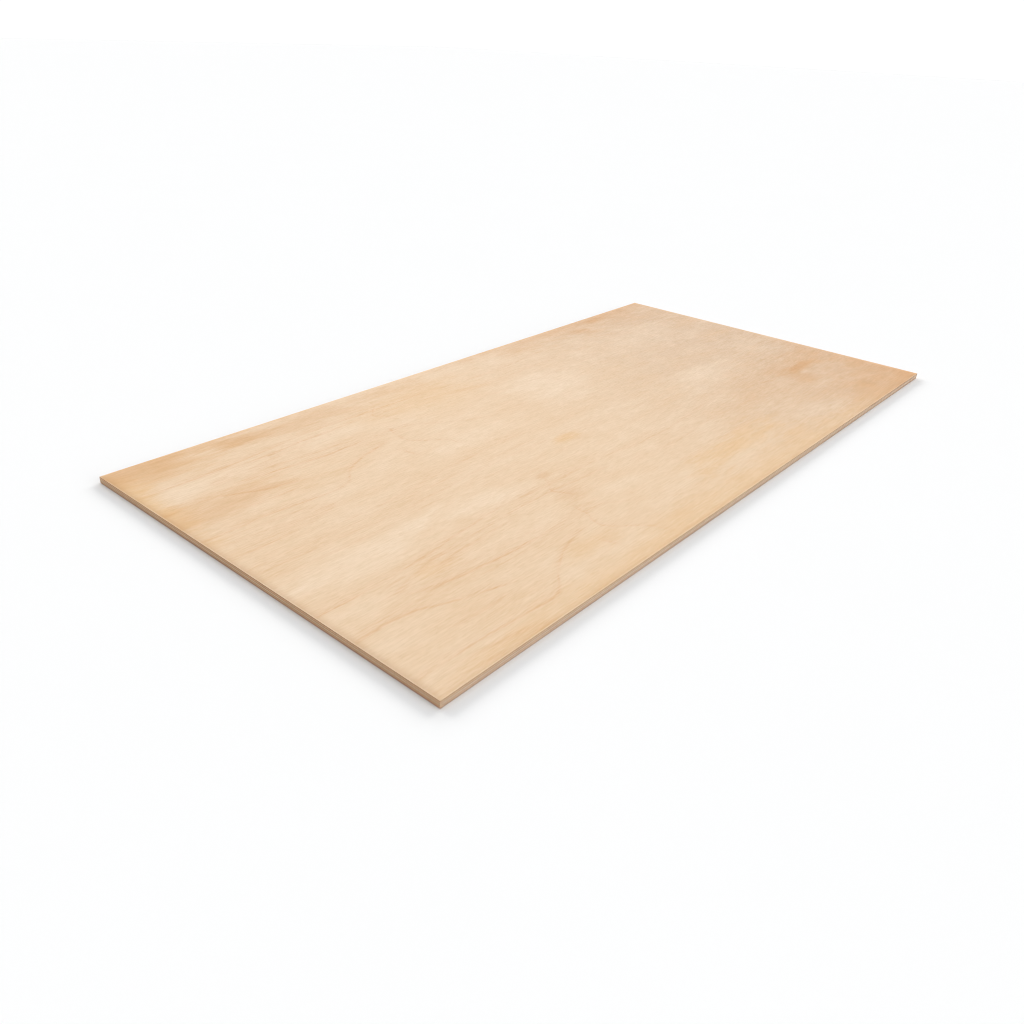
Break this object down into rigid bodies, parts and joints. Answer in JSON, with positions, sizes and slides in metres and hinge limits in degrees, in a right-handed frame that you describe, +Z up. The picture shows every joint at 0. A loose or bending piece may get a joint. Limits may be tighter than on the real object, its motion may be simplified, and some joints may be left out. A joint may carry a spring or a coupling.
{
  "type": "plywood sheet",
  "caption": "Flat plywood sheet for building and joinery, with a pale peeled face veneer, crossed inner plies that show as lines along its sawn edges, and a plain back.",
  "frame": {"origin": "centre of the sheet's underside, on the floor it lies on", "axes": "+X along the length and the face's grain, +Y across the width, +Z up out of the face"},
  "size_m": [2.44, 1.22, 0.018],
  "materials": {
    "back_veneer": "sanded, unfinished",
    "crossband": "sawn edge, unfinished",
    "long_ply": "sawn edge, unfinished",
    "centre_ply": "sawn edge, unfinished",
    "face_veneer": "sanded, unfinished"
  },
  "bodies": {
    "root": {"back_veneer": "back_veneer", "crossband_1": "crossband", "long_ply_1": "long_ply", "crossband_2": "crossband", "centre_ply": "centre_ply", "crossband_3": "crossband", "long_ply_2": "long_ply", "crossband_4": "crossband", "face_veneer": "face_veneer"}
  },
  "joints": []
}
